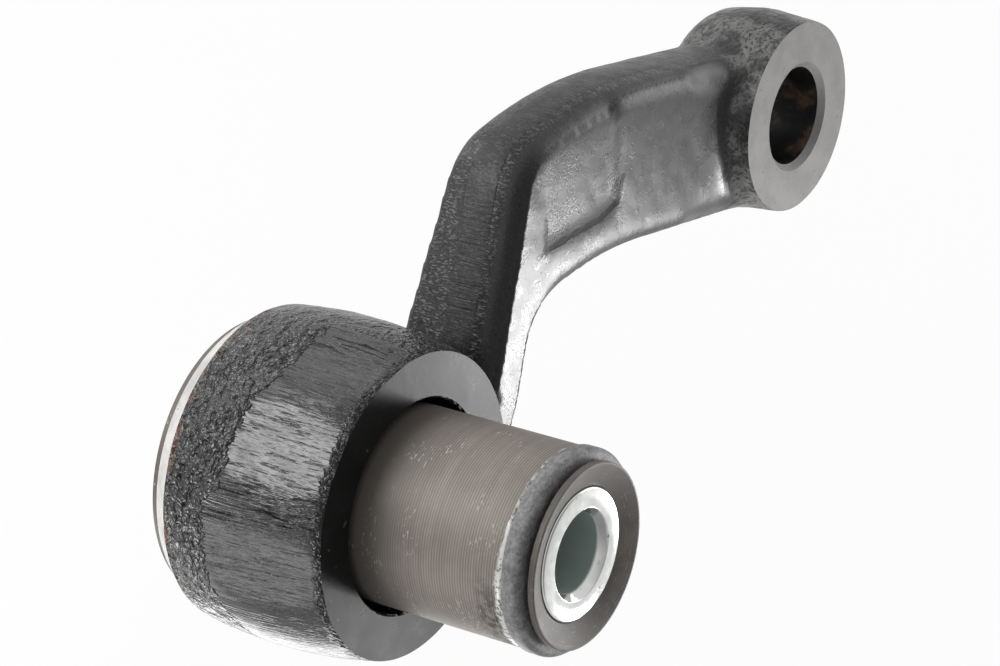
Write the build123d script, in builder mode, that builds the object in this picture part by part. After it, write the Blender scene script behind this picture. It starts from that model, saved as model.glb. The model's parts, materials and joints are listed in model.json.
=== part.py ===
"""Steering idler arm: a forged arm that turns about a sleeved bush.

Millimetres. +Z runs along the pivot, out of the long end of the bush. +X runs from the pivot
to the small boss. The origin is on the pivot, level with the machined faces of both bosses.
"""
from build123d import *
import os
from math import cos, radians, sin, tan

# Pivot bush
sleeve_bore_d = 12.2            # clears the bracket's M12 bolt
sleeve_d = 20.6
sleeve_front = 29.8             # height of the sleeve's front end above the machined faces
sleeve_rear_stand = 3.4         # how far its rear end stands out behind the tube's flange
countersink_d = 14.3
countersink_depth = 1.4
tube_d = 31.0
tube_bore_d = 25.4
tube_front = 26.1
tube_edge = 0.5
flange_d = 44.2
flange_thick = 1.4

# Bearing liners, one from each end of the tube
running_gap = 0.05              # radial, between the sleeve and the liners
liner_rim_d = 28.6              # outside of the front liner's dished flange
liner_rim_proud = 1.0           # the rim stands this far in front of the sleeve's end
liner_rim_thick = 1.1
liner_rim_land = 0.4            # narrow flat around the dish
liner_dish = 1.35
liner_meeting_gap = 1.0         # grease space between the two liners
rear_rim_d = 27.6
rear_rim_thick = 1.2

# Rubber seal rings
seal_d = 31.7
seal_thick = 2.7
seal_edge = 0.6
seal_gap = 0.05                 # radial, around the liner's neck
rear_seal_d = 29.0
rear_seal_thick = 1.0

# Big boss, a barrel about the pivot
barrel_face_d = 48.0
barrel_belly_d = 51.8
barrel_belly_depth = 17.5
barrel_heel_d = 49.9            # where the machined chamfer at the back begins
barrel_heel_depth = 28.3
barrel_depth = 31.4
barrel_back_d = 45.4
barrel_relief_d = 33.5          # the bore is opened around the tube at the front
barrel_relief_depth = 9.0

# Flats left where the flash was trimmed off the barrel: where each lies round the pivot
trim_flats_at = (92.0, 129.0, 172.0)
trim_flat_stand = 23.7          # distance from the pivot at the machined face
trim_flat_width = 24.0
trim_flat_lean = 5.0            # degrees, away from the pivot towards the back

# Small boss, for the ball stud
arm_centres = 115.8
eye_face_d = 32.8
eye_belly_d = 34.3
eye_belly_depth = 9.0
eye_depth = 19.6
eye_heel_d = 32.6
eye_heel_round = 5.0
stud_hole_d = 16.8              # at the machined face
stud_hole_taper = 2.86          # half angle in degrees, which is 1 in 10 on the diameter
stud_hole_edge = 1.0

# Limb: its lower stretch leans away from the pivot, and its upper stretch runs to the small boss
limb_lean = 58.9                # direction of the lower stretch, from +X
limb_outer = 21.9               # distance of its two sides from the pivot
limb_inner = 33.0
limb_root = 8.0                 # the inner side turns towards the barrel this far along
limb_front_depth = 4.0          # its front face lies this far behind the machined faces
limb_back_depth = 18.8
limb_parting_depth = 11.5
limb_draft = 5.0
front_edge_break = 2.0
back_edge_break = 1.8
root_round = 22.0
elbow_outer_round = 10.0
elbow_inner_round = 8.0
sweep_outer_round = 98.0
sweep_inner_round = 88.0
end_round = 4.0                 # on the limb's ends, which lie inside the bosses
outer_end_short = 1.8           # the corners in the small boss lie this far short of its axis
inner_end_short = 4.3
trim_band_width = 5.6           # the band left round the limb where its flash was trimmed off
trim_band_proud = 0.15

# Outline corners of the limb at the parting plane
limb_end_near_pivot = (9.0, -10.0)
limb_end_at_root = (9.0, -22.4)
elbow_outer = (45.8, 33.45)
sweep_outer = (69.4, 31.8)
elbow_inner = (42.45, 6.45)
sweep_inner = (61.6, 4.55)
eye_outer = (arm_centres - outer_end_short, 13.1)
eye_inner = (arm_centres - inner_end_short, -16.15)

# Heel, which thickens the back of the limb's root and slopes up to the back of the limb
heel_depth = 24.0
heel_full_to_x = 26.0
heel_fades_at_x = 43.5

# Shallow die step in the front face at the elbow
step_depth = 0.7
step_top = (74.3, 36.0)
step_corner = (67.2, 10.4)
step_elbow = (43.6, 16.0)
step_root = (30.5, -3.0)
step_corner_round = 3.0
step_elbow_round = 7.0


def along_limb(across, along):
    """A point beside the pivot, measured across and along the lower stretch."""
    lean = radians(limb_lean)
    return (across * sin(lean) + along * cos(lean), -across * cos(lean) + along * sin(lean))


def drafted(height, edge_break):
    """One side of the limb, drafted up from the parting plane, with its top edges broken."""
    with BuildPart() as side:
        with BuildSketch(parting):
            with BuildLine():
                FilletPolyline(*limb_corners, radius=limb_rounds, close=True)
            make_face()
        extrude(amount=height, taper=limb_draft)
        chamfer(side.faces().sort_by(Axis.Z)[-1].edges(), edge_break)
    return side.part


parting = Plane.XY.offset(-limb_parting_depth)
tube_rear = -barrel_depth - flange_thick
sleeve_rear = tube_rear - sleeve_rear_stand
liner_bore_r = sleeve_d / 2 + running_gap
liner_meeting = (tube_front + tube_rear) / 2
stud_axis = Axis((arm_centres, 0, 0), (0, 0, 1))
top_down = (Align.CENTER, Align.CENTER, Align.MAX)
bottom_up = (Align.CENTER, Align.CENTER, Align.MIN)

# The small boss turns in to its back face over a quarter round, worked in three straight steps
eye_heel = [
    (
        eye_heel_d / 2 - eye_heel_round * (1 - cos(radians(turn))),
        -eye_depth + eye_heel_round * (1 - sin(radians(turn))),
    )
    for turn in (0, 30, 60, 90)
]
limb_corners = [
    along_limb(limb_outer, limb_root),
    limb_end_near_pivot,
    limb_end_at_root,
    along_limb(limb_inner, limb_root),
    elbow_inner,
    sweep_inner,
    eye_inner,
    eye_outer,
    sweep_outer,
    elbow_outer,
]
limb_rounds = [
    end_round,
    end_round,
    end_round,
    root_round,
    elbow_inner_round,
    sweep_inner_round,
    end_round,
    end_round,
    sweep_outer_round,
    elbow_outer_round,
]

front_height = limb_parting_depth - limb_front_depth
limb_front_rail = drafted(front_height, front_edge_break)
limb_front_step = drafted(front_height - step_depth, front_edge_break)
limb_back = drafted(limb_back_depth - limb_parting_depth, back_edge_break)
limb_heel = drafted(heel_depth - limb_parting_depth, back_edge_break)

# The region of the die step reaches past the limb's outer side and past its height
with BuildPart() as step_region:
    with BuildSketch(parting) as step_outline:
        with BuildLine():
            FilletPolyline(
                step_top,
                (0, step_top[1]),
                (0, step_root[1]),
                step_root,
                step_elbow,
                step_corner,
                radius=[0, 0, 0, 0, step_elbow_round, step_corner_round],
                close=True,
            )
        make_face()
    extrude(amount=limb_parting_depth, both=True)

with BuildPart() as limb_front:
    add(limb_front_rail)
    add(step_region.part, mode=Mode.SUBTRACT)

with BuildPart() as limb_step:
    add(limb_front_step)
    add(step_region.part, mode=Mode.INTERSECT)

# The heel is worked face up, like the other sides, and turned over where it joins the arm
heel_full = heel_depth - 2 * limb_parting_depth
heel_faded = limb_back_depth - 2 * limb_parting_depth
# The slope runs on inside the limb for as long again
heel_buried = 2 * heel_faded - heel_full
heel_buried_at_x = 2 * heel_fades_at_x - heel_full_to_x
with BuildPart() as heel_relief:
    with BuildSketch(Plane.XZ):
        with BuildLine():
            Polyline(
                (heel_full_to_x, heel_full),
                (heel_buried_at_x, heel_buried),
                (arm_centres + eye_belly_d, heel_buried),
                (arm_centres + eye_belly_d, heel_depth),
                (heel_full_to_x, heel_depth),
                close=True,
            )
        make_face()
    extrude(amount=arm_centres, both=True)

with BuildPart() as heel:
    add(limb_heel)
    add(heel_relief.part, mode=Mode.SUBTRACT)

# What the trimming takes off the barrel for a flat that lies towards +X
with BuildPart() as flat_cutter:
    with BuildSketch(Plane.XZ):
        with BuildLine():
            Polyline(
                (trim_flat_stand, 0),
                (trim_flat_stand + tan(radians(trim_flat_lean)) * barrel_depth, -barrel_depth),
                (barrel_belly_d, -barrel_depth),
                (barrel_belly_d, 0),
                close=True,
            )
        make_face()
    extrude(amount=trim_flat_width / 2, both=True)

# Big boss, with the flats where its flash was trimmed off
with BuildPart() as barrel:
    with BuildSketch(Plane.XZ):
        with BuildLine():
            ThreePointArc(
                (barrel_face_d / 2, 0),
                (barrel_belly_d / 2, -barrel_belly_depth),
                (barrel_heel_d / 2, -barrel_heel_depth),
            )
            Polyline(
                (barrel_heel_d / 2, -barrel_heel_depth),
                (barrel_back_d / 2, -barrel_depth),
                (0, -barrel_depth),
                (0, 0),
                (barrel_face_d / 2, 0),
            )
        make_face()
    revolve(axis=Axis.Z)
    with Locations(*[Location((0, 0, 0), (0, 0, heading)) for heading in trim_flats_at]):
        add(flat_cutter.part, mode=Mode.SUBTRACT)

# Forged arm
with BuildPart() as idler_arm:
    with BuildSketch(parting.offset(-trim_band_width / 2)):
        with BuildLine():
            FilletPolyline(*limb_corners, radius=limb_rounds, close=True)
        make_face()
        offset(amount=trim_band_proud)
    extrude(amount=trim_band_width)
    add(limb_front.part)
    add(limb_step.part)
    add(mirror(limb_back, about=parting))
    add(mirror(heel.part, about=parting))
    add(barrel.part)
    # Small boss
    with BuildSketch(Plane.XZ.move(Location((arm_centres, 0, 0)))) as eye_profile:
        with BuildLine():
            Polyline(
                (eye_face_d / 2, 0),
                (eye_belly_d / 2, -eye_belly_depth),
                *eye_heel,
                (0, -eye_depth),
                (0, 0),
                close=True,
            )
        make_face()
    revolve(eye_profile.sketch, axis=stud_axis)
    # Bore for the tube, opened out at the front
    Cylinder(tube_d / 2, barrel_depth, align=top_down, mode=Mode.SUBTRACT)
    Cylinder(barrel_relief_d / 2, barrel_relief_depth, align=top_down, mode=Mode.SUBTRACT)
    # Tapered hole for the ball stud, with its edge broken
    with BuildSketch(Plane.XZ.move(Location((arm_centres, 0, 0)))) as stud_profile:
        with BuildLine():
            Polyline(
                (0, 0),
                (stud_hole_d / 2 + stud_hole_edge, 0),
                (stud_hole_d / 2, -stud_hole_edge),
                (stud_hole_d / 2 - tan(radians(stud_hole_taper)) * (eye_depth - stud_hole_edge), -eye_depth),
                (0, -eye_depth),
                close=True,
            )
        make_face()
    revolve(stud_profile.sketch, axis=stud_axis, mode=Mode.SUBTRACT)
idler_arm.part.label = "idler_arm"

# Tube pressed into the barrel from the back, down to its flange
with BuildPart() as bush_tube:
    with BuildSketch(Plane.XZ) as tube_profile:
        with BuildLine():
            Polyline(
                (tube_bore_d / 2, tube_rear),
                (flange_d / 2, tube_rear),
                (flange_d / 2, -barrel_depth),
                (tube_d / 2, -barrel_depth),
                (tube_d / 2, tube_front),
                (tube_bore_d / 2, tube_front),
                close=True,
            )
        make_face()
        chamfer(tube_profile.vertices().sort_by(Axis.Y)[-2:].sort_by(Axis.X)[-1], length=tube_edge)
    revolve(axis=Axis.Z)
bush_tube.part.label = "bush_tube"

# Inner sleeve, clamped to the bracket by its bolt, which the arm turns about
with BuildPart() as inner_sleeve:
    with BuildSketch(Plane.XZ):
        with BuildLine():
            Polyline(
                (sleeve_bore_d / 2, sleeve_rear + countersink_depth),
                (countersink_d / 2, sleeve_rear),
                (sleeve_d / 2, sleeve_rear),
                (sleeve_d / 2, sleeve_front),
                (countersink_d / 2, sleeve_front),
                (sleeve_bore_d / 2, sleeve_front - countersink_depth),
                close=True,
            )
        make_face()
    revolve(axis=Axis.Z)
inner_sleeve.part.label = "inner_sleeve"

# Front liner: its flange is dished down to the sleeve, and its neck lines the tube
rim_front = sleeve_front + liner_rim_proud
rim_back = rim_front - liner_rim_thick
with BuildPart() as front_liner:
    with BuildSketch(Plane.XZ):
        with BuildLine():
            Polyline(
                (liner_bore_r, liner_meeting + liner_meeting_gap / 2),
                (tube_bore_d / 2, liner_meeting + liner_meeting_gap / 2),
                (tube_bore_d / 2, rim_back),
                (liner_rim_d / 2, rim_back),
                (liner_rim_d / 2, rim_front),
                (liner_rim_d / 2 - liner_rim_land, rim_front),
                (liner_bore_r, rim_front - liner_dish),
                close=True,
            )
        make_face()
    revolve(axis=Axis.Z)
front_liner.part.label = "front_liner"

# Rear liner, with a plain flange behind the tube's
rear_rim_back = tube_rear - rear_seal_thick - rear_rim_thick
with BuildPart() as rear_liner:
    with BuildSketch(Plane.XZ):
        with BuildLine():
            Polyline(
                (liner_bore_r, rear_rim_back),
                (rear_rim_d / 2, rear_rim_back),
                (rear_rim_d / 2, tube_rear - rear_seal_thick),
                (tube_bore_d / 2, tube_rear - rear_seal_thick),
                (tube_bore_d / 2, liner_meeting - liner_meeting_gap / 2),
                (liner_bore_r, liner_meeting - liner_meeting_gap / 2),
                close=True,
            )
        make_face()
    revolve(axis=Axis.Z)
rear_liner.part.label = "rear_liner"

# Seal rings on both ends of the tube, around the necks of the liners
with BuildPart() as front_seal_ring:
    with Locations((0, 0, tube_front)):
        Cylinder(seal_d / 2, seal_thick, align=bottom_up)
        chamfer(front_seal_ring.faces().sort_by(Axis.Z)[-1].edges(), length=seal_edge)
        Cylinder(tube_bore_d / 2 + seal_gap, seal_thick, align=bottom_up, mode=Mode.SUBTRACT)
front_seal_ring.part.label = "front_seal_ring"

with BuildPart() as rear_seal_ring:
    with Locations((0, 0, tube_rear)):
        Cylinder(rear_seal_d / 2, rear_seal_thick, align=top_down)
        Cylinder(tube_bore_d / 2 + seal_gap, rear_seal_thick, align=top_down, mode=Mode.SUBTRACT)
rear_seal_ring.part.label = "rear_seal_ring"

os.makedirs("parts", exist_ok=True)
export_step(idler_arm.part, "parts/idler_arm.step")
export_step(bush_tube.part, "parts/bush_tube.step")
export_step(inner_sleeve.part, "parts/inner_sleeve.step")
export_step(front_liner.part, "parts/front_liner.step")
export_step(rear_liner.part, "parts/rear_liner.step")
export_step(front_seal_ring.part, "parts/front_seal_ring.step")
export_step(rear_seal_ring.part, "parts/rear_seal_ring.step")
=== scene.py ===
"""The looks of a steering idler arm: its forging, its turned bush, and the stage it is shown on."""

import json
from contextlib import contextmanager
from math import atan2, cos, pi, radians, sin

import bmesh
import bpy
import numpy as np
from mathutils import Matrix, Vector, noise


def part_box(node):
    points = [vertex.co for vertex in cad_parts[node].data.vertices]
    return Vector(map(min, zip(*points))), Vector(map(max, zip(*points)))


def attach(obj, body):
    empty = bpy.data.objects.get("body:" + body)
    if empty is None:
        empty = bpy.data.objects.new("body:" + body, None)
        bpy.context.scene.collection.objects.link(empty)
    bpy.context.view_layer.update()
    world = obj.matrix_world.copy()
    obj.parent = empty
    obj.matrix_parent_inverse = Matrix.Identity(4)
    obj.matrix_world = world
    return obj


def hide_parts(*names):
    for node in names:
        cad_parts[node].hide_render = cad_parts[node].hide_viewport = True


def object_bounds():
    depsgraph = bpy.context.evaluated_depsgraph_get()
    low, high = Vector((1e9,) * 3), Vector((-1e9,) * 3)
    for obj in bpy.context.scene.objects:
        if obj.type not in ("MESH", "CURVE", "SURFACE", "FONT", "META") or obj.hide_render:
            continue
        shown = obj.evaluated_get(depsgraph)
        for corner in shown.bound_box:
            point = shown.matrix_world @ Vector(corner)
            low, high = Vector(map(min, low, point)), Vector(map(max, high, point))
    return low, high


bl_info = {
    "name": "Idler Arm",
    "version": (1, 0, 0),
    "blender": (4, 5, 0),
    "location": "View3D > Sidebar > Idler Arm",
    "description": "Dresses a steering idler arm and sets its stage",
    "category": "Object",
}

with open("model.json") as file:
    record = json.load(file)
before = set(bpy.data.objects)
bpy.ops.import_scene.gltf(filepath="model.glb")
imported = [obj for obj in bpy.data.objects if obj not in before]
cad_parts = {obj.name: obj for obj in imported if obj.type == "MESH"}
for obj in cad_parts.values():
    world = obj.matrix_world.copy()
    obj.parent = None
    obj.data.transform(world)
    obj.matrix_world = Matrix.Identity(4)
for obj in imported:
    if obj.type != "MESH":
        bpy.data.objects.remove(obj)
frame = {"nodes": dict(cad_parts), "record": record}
CAD_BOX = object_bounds()
MM = 0.001

# Lowest and highest corners of the solids, and the place of the small boss, read from the frame
ARM_LOW, ARM_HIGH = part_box("idler_arm")
TUBE_LOW, TUBE_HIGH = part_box("bush_tube")
SLEEVE_LOW, SLEEVE_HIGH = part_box("inner_sleeve")
LINER_LOW, LINER_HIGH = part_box("front_liner")
REAR_LINER_LOW, REAR_LINER_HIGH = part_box("rear_liner")
RING_LOW, RING_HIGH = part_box("front_seal_ring")
REAR_RING_LOW, REAR_RING_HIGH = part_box("rear_seal_ring")
EYE_X = next(mount["pos_m"][0] for mount in frame["record"]["mounts"]
             if mount["name"] == "stud_hole")


def length(name, default, description):
    """A size in metres that a user may change."""
    return bpy.props.FloatProperty(name=name, default=default, unit="LENGTH", precision=5,
                                   description=description)


def colour(name, default, description):
    """A linear colour that a user may change."""
    return bpy.props.FloatVectorProperty(name=name, default=default, size=3, min=0, max=1,
                                         subtype="COLOR", description=description)


def vector(name, default, subtype, description):
    """A place or a direction that a user may change."""
    return bpy.props.FloatVectorProperty(name=name, default=default, size=3, subtype=subtype,
                                         description=description)


class ForgingSettings(bpy.types.PropertyGroup):
    """Sizes and colours of the forged arm."""
    voxel: length("Grain", 0.55 * MM, "Size of the cells that the forging's skin is rebuilt from")
    face_radius: length("Face radius", 24.0 * MM, "Radius of the big boss's machined face")
    relief_radius: length("Relief radius", 16.75 * MM, "Radius of the opening around the tube")
    relief_depth: length("Relief depth", 9.0 * MM, "Depth of the opening around the tube")
    bore_radius: length("Bore radius", 15.5 * MM, "Radius of the bore that the tube is pressed in")
    heel_radius: length("Heel radius", 22.7 * MM, "Radius of the big boss's back face")
    heel_slope: length("Heel chamfer", 3.1 * MM, "Depth of the machined chamfer at the back")
    eye_face_radius: length("Small face radius", 16.4 * MM, "Radius of the small boss's face")
    stud_radius: length("Stud hole radius", 8.4 * MM, "Radius of the tapered hole at the face")
    stud_back_radius: length("Stud hole back", 7.47 * MM, "Radius of the tapered hole at the back")
    stud_edge: length("Stud hole edge", 1.0 * MM, "Width of the broken edge of the tapered hole")
    lump: length("Lumps", 0.13 * MM, "Height of the lumps on the forged skin")
    paint: colour("Paint", (0.009, 0.009, 0.009), "Black paint on the forged skin")
    # Also the colour of the painted glints on the forged skin
    worn: colour("Worn paint", (0.16, 0.16, 0.155), "Paint that is rubbed thin over the steel")
    rust: colour("Rust", (0.10, 0.055, 0.03), "Brown film along the back edge")
    bare_steel: colour("Bare steel", (0.215, 0.21, 0.205), "Machined steel")


class BushSettings(bpy.types.PropertyGroup):
    """Sizes and colours of the bush."""
    segments: bpy.props.IntProperty(name="Segments", default=160, min=16,
                                    description="Facets round each turned piece")
    tube_wall: length("Tube wall", 2.8 * MM, "Wall of the tube")
    flange_thick: length("Flange", 1.4 * MM, "Thickness of the tube's flange at the back")
    sleeve_bore: length("Sleeve bore", 6.1 * MM, "Radius of the sleeve's bore")
    sleeve_mouth: length("Sleeve mouth", 7.15 * MM, "Radius of the countersink")
    sleeve_sink: length("Countersink", 1.4 * MM, "Depth of the countersink")
    running_gap: length("Running gap", 0.05 * MM, "Clearance between the sleeve and the liners")
    neck_gap: length("Neck gap", 0.05 * MM, "Clearance between the liners and the rubber rings")
    rim_thick: length("Rim", 1.1 * MM, "Thickness of the front liner's rim")
    rear_rim_thick: length("Rear rim", 1.2 * MM, "Thickness of the rear liner's rim")
    rim_dish: length("Dish", 1.35 * MM, "Depth of the dish in the front liner's flange")
    tube_colour: colour("Tube", (0.20, 0.177, 0.156), "Phosphated steel of the tube")
    zinc: colour("Zinc", (0.62, 0.63, 0.615), "Zinc plating of the sleeve")
    rubber: colour("Rubber", (0.21, 0.21, 0.211), "Rubber of the seal rings")
    liner: colour("Liner", (0.105, 0.091, 0.079), "Moulded plastic of the liners")


class StageSettings(bpy.types.PropertyGroup):
    """Camera, lamps and floor."""
    place: vector("Camera", (-0.35438, 0.34902, 0.30861), "TRANSLATION", "Where the camera stands")
    aim: vector("Aim", (0.02119, 0.01916, 0.00470), "TRANSLATION", "What the camera looks at")
    upright: vector("Upright", (0.5405, 0.8134, -0.2150), "DIRECTION", "The picture's upward side")
    lens: bpy.props.FloatProperty(name="Lens", default=140.36, min=1,
                                  description="Focal length in mm")
    floor_drop: length("Floor", 160 * MM, "How far the floor lies under the part")
    floor_size: length("Floor width", 6.0, "Width of the floor")
    floor_colour: colour("Floor", (0.9, 0.9, 0.9), "Colour of the floor")
    sky: bpy.props.FloatProperty(name="Room light", default=0.55, min=0,
                                 description="Strength of the light from all round")
    overhead: bpy.props.FloatProperty(
        name="Overhead", default=0.35, min=0, max=1,
        description="Brightness of the room overhead, where the walls are 1")


# ---- shader helpers


def fill(tree, made, inputs):
    """Links or sets inputs of a node."""
    for key, value in inputs.items():
        if isinstance(value, Value):
            value = value.socket
        if isinstance(value, bpy.types.NodeSocket):
            tree.links.new(value, made.inputs[key])
        else:
            made.inputs[key].default_value = value


def node(tree, kind, inputs=None, **settings):
    """Adds a node, with its settings and its input values or links."""
    made = tree.nodes.new(kind)
    for name, value in settings.items():
        setattr(made, name, value)
    fill(tree, made, inputs or {})
    return made


class Value:
    """A node's output, on which sums are written as formulas. Of two masks, | is the larger."""

    def __init__(self, tree, socket):
        self.tree = tree
        self.socket = socket

    def make(self, kind, inputs, output=0, **settings):
        """The output of a new node in the same tree."""
        return Value(self.tree, node(self.tree, kind, inputs, **settings).outputs[output])

    def sum(self, operation, other=0.0, clamp=False):
        """The result of one sum."""
        return self.make("ShaderNodeMath", {0: self, 1: other}, operation=operation,
                         use_clamp=clamp)

    def __add__(self, other):
        return self.sum("ADD", other)

    def __sub__(self, other):
        return self.sum("SUBTRACT", other)

    def __mul__(self, other):
        return self.sum("MULTIPLY", other)

    def __or__(self, other):
        return self.sum("MAXIMUM", other)

    def vector(self, operation, other=(0.0, 0.0, 0.0), output=0):
        """The result of one sum on vectors."""
        return self.make("ShaderNodeVectorMath", {0: self, 1: other}, output, operation=operation)

    def stretch(self, *factors):
        """The place scaled by its own factor along each axis."""
        return self.vector("MULTIPLY", factors)

    def split(self):
        """The three parts of a vector."""
        made = node(self.tree, "ShaderNodeSeparateXYZ", {0: self})
        return [Value(self.tree, output) for output in made.outputs]

    def ramp(self, low, high, start=0.0, end=1.0):
        """The value mapped smoothly from one range to another."""
        return self.make("ShaderNodeMapRange", {0: self, 1: low, 2: high, 3: start, 4: end},
                         interpolation_type="SMOOTHSTEP")

    def window(self, low, high, soft):
        """1 where the value lies between two limits, with soft borders."""
        return self.ramp(low - soft, low + soft) * self.ramp(high - soft, high + soft, 1.0, 0.0)

    def fade(self, first, second):
        """One number faded into another by this mask."""
        return self.make("ShaderNodeMix", {0: self, 2: first, 3: second}, data_type="FLOAT")

    def blend(self, first, second):
        """One colour faded into another by this mask."""
        first, second = (value if isinstance(value, Value) else (*value, 1.0)
                         for value in (first, second))
        return self.make("ShaderNodeMix", {0: self, 6: first, 7: second}, 2, data_type="RGBA")

    def cloud(self, scale, detail=3.0, rough=0.55):
        """A noise texture's value at this place."""
        return self.make("ShaderNodeTexNoise", {"Vector": self, "Scale": scale, "Detail": detail,
                                                "Roughness": rough})

    def polar(self):
        """This place's distance from the pivot, and its direction from it."""
        level = self.stretch(1.0, 1.0, 0.0)
        return level.vector("LENGTH", output="Value"), level.vector("NORMALIZE")

    def near_heading(self, degrees, half_width, soft):
        """1 where this direction lies near a heading."""
        aimed = (cos(radians(degrees)), sin(radians(degrees)), 0.0)
        closeness = self.vector("DOT_PRODUCT", aimed, "Value")
        return closeness.ramp(cos(radians(half_width + soft)), cos(radians(half_width - soft)))

    def zone(self, name, ragged=None):
        """A zone's mask from the piece's own attribute, with a ragged border."""
        mask = self.make("ShaderNodeAttribute", {}, "Fac", attribute_name=name)
        return mask if ragged is None else (mask + ragged).ramp(0.42, 0.58)

    def use(self, effect, **inputs):
        """The outputs of a shared effect at this place. The effect's group is built once."""
        group = bpy.data.node_groups.get(effect) or EFFECTS[effect]()
        made = node(self.tree, "ShaderNodeGroup", {"Place": self, **inputs}, node_tree=group)
        return {output.name: Value(self.tree, output) for output in made.outputs}

    def turning(self, pitch, centre_x=0.0):
        """Lines left by turning round an axis along Z, at this place."""
        centred = self.vector("SUBTRACT", (centre_x, 0.0, 0.0)) if centre_x else self
        return centred.use("Turning lines", Pitch=pitch)["Lines"]


def scaled(base, level):
    """A colour made brighter or darker."""
    return tuple(channel * level for channel in base)


def start_group(name, numbers, outputs):
    """An empty shader group that takes a place and numbers, and puts out numbers."""
    tree = bpy.data.node_groups.new(name, "ShaderNodeTree")
    face = tree.interface
    face.new_socket("Place", in_out="INPUT", socket_type="NodeSocketVector")
    for label, default in numbers.items():
        made = face.new_socket(label, in_out="INPUT", socket_type="NodeSocketFloat")
        made.default_value = default
    for label in outputs:
        face.new_socket(label, in_out="OUTPUT", socket_type="NodeSocketFloat")
    sockets = tree.nodes.new("NodeGroupInput").outputs
    given = {label: Value(tree, sockets[label]) for label in ("Place", *numbers)}
    return tree, given, tree.nodes.new("NodeGroupOutput")


def forged_skin_group():
    """Heights in millimetres of a forged skin: leathery bumps, broad lumps and fine grain."""
    tree, given, out = start_group(
        "Forged skin",
        {"Leather": 1.0, "Lumps": 1.0, "Leather scale": 520.0, "Grain scale": 2400.0},
        ("Height", "Creases", "Glint speckle"))
    place, scale = given["Place"], given["Leather scale"]
    squashed = place.stretch(1.0, 1.0, 1.35)
    drift = squashed.make("ShaderNodeTexNoise", {"Vector": squashed, "Scale": 480.0}, "Color")
    drift = drift.vector("SUBTRACT", (0.5, 0.5, 0.5)).stretch(2.2 * MM, 2.2 * MM, 2.2 * MM)
    bent = squashed.vector("ADD", drift)
    cells = bent.make("ShaderNodeTexVoronoi", {"Vector": bent, "Scale": scale}, "Distance",
                      feature="DISTANCE_TO_EDGE")
    uneven = squashed.cloud(scale, 2.5, 0.6)
    leather = cells.ramp(0.0, 0.30) * 0.16 + uneven * 0.8
    lumps = place.cloud(170.0, 1.0, 0.5) * 0.30 * given["Lumps"]
    grain = place.cloud(given["Grain scale"], 2.0, 0.6)
    fill(tree, out, {
        "Height": leather * given["Leather"] + lumps + grain * 0.05,
        "Creases": cells.ramp(0.11, 0.03) * uneven.ramp(0.58, 0.44),
        "Glint speckle": grain.ramp(0.56, 0.66)})
    return tree


def scratch_group():
    """Heights in millimetres of scratches that run along the pivot's direction."""
    tree, given, out = start_group("Trim scratches", {"Fineness": 2300.0, "Depth": 1.0},
                                   ("Height", "Groove"))
    fine = given["Place"].stretch(1.0, 1.0, 0.03).cloud(given["Fineness"], 2.0, 0.7)
    groove = given["Place"].stretch(1.0, 1.0, 0.014).cloud(1900.0, 2.0, 0.6).ramp(0.57, 0.66)
    height = (fine * 0.055 - groove * 0.05) * given["Depth"]
    fill(tree, out, {"Height": height, "Groove": groove})
    return tree


def turning_group():
    """Even lines left by turning, stacked along the pivot or around a face."""
    tree, given, out = start_group("Turning lines", {"Pitch": 0.45 * MM}, ("Lines",))
    place = given["Place"]
    x, y, z = place.split()
    along = z + (x * x + y * y).sum("SQRT")
    waver = place.cloud(120.0, 1.0) * 1.5
    phase = along.sum("DIVIDE", given["Pitch"]) * (2 * pi) + waver
    wave = phase.sum("SINE") * 0.5 + 0.5
    flat = place.make("ShaderNodeCombineXYZ", {0: x * 0.02, 1: y * 0.02, 2: along})
    fill(tree, out, {"Lines": wave * 0.45 + flat.cloud(1500.0, 2.0, 0.6) * 0.55})
    return tree


EFFECTS = {"Forged skin": forged_skin_group, "Trim scratches": scratch_group,
           "Turning lines": turning_group}


# ---- materials

# Headings round the pivot: degrees, half width and soft border
DEEP_SCORES = ((151.0, 7.0, 4.0), (80.0, 5.0, 4.0))     # deeper scratches on the trimmed belt
UNDERSIDE = (242.0, 42.0, 9.0)          # the barrel's underside, where shade is painted
KNOCKED = (190.0, 40.0, 25.0)           # where the tube's end is worn furthest back
SMEARED = (205.0, 30.0, 20.0)           # dirt behind the tube's end
SHADED_SINK_HEADING = (15.0, 30.0, 28.0)         # painted shade, a dark reflection, on one side of the sleeve's countersink

# Linear colours of what lies on the finishes or shows through them, and of painted shade and glints
PAINTED_PIT_SHADE = (0.003, 0.003, 0.003)
NICKED_PAINT = (0.06, 0.06, 0.057)
STEEL_STAIN = (0.08, 0.07, 0.06)
TUBE_DIRT = (0.02, 0.02, 0.02)
TUBE_WEAR_AND_GLINT = (0.58, 0.58, 0.565)
DULL_ZINC = (0.30, 0.30, 0.28)
BORE_ZINC = (0.36, 0.42, 0.40)
SINK_PAINTED_SHADE = (0.10, 0.10, 0.10)

WORN_BACK = 0.4 * MM            # how far the tube's bright wear reaches back from its end
KNOCKED_BACK = 1.25 * MM        # and where it was knocked
WEAR_SOFT = 0.3 * MM            # soft border of that wear
SMEAR_ENDS = (6 * MM, 3 * MM)   # where the dirt fades in, behind the tube's end
TUBE_SHADE = 13 * MM            # height that the painted shade from the arm's opening reaches on the tube
BORE_ENDS = (6.3 * MM, 6.15 * MM)       # radii at which the sleeve's bore starts
SINK = (6.2 * MM, 7.05 * MM, 0.15 * MM)     # radii of its countersink, and their soft border


def start_material(name):
    """An empty material and its object coordinates."""
    material = bpy.data.materials.new(name)
    material.use_nodes = True
    tree = material.node_tree
    return material, Value(tree, tree.nodes.new("ShaderNodeTexCoord").outputs["Object"])


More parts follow.
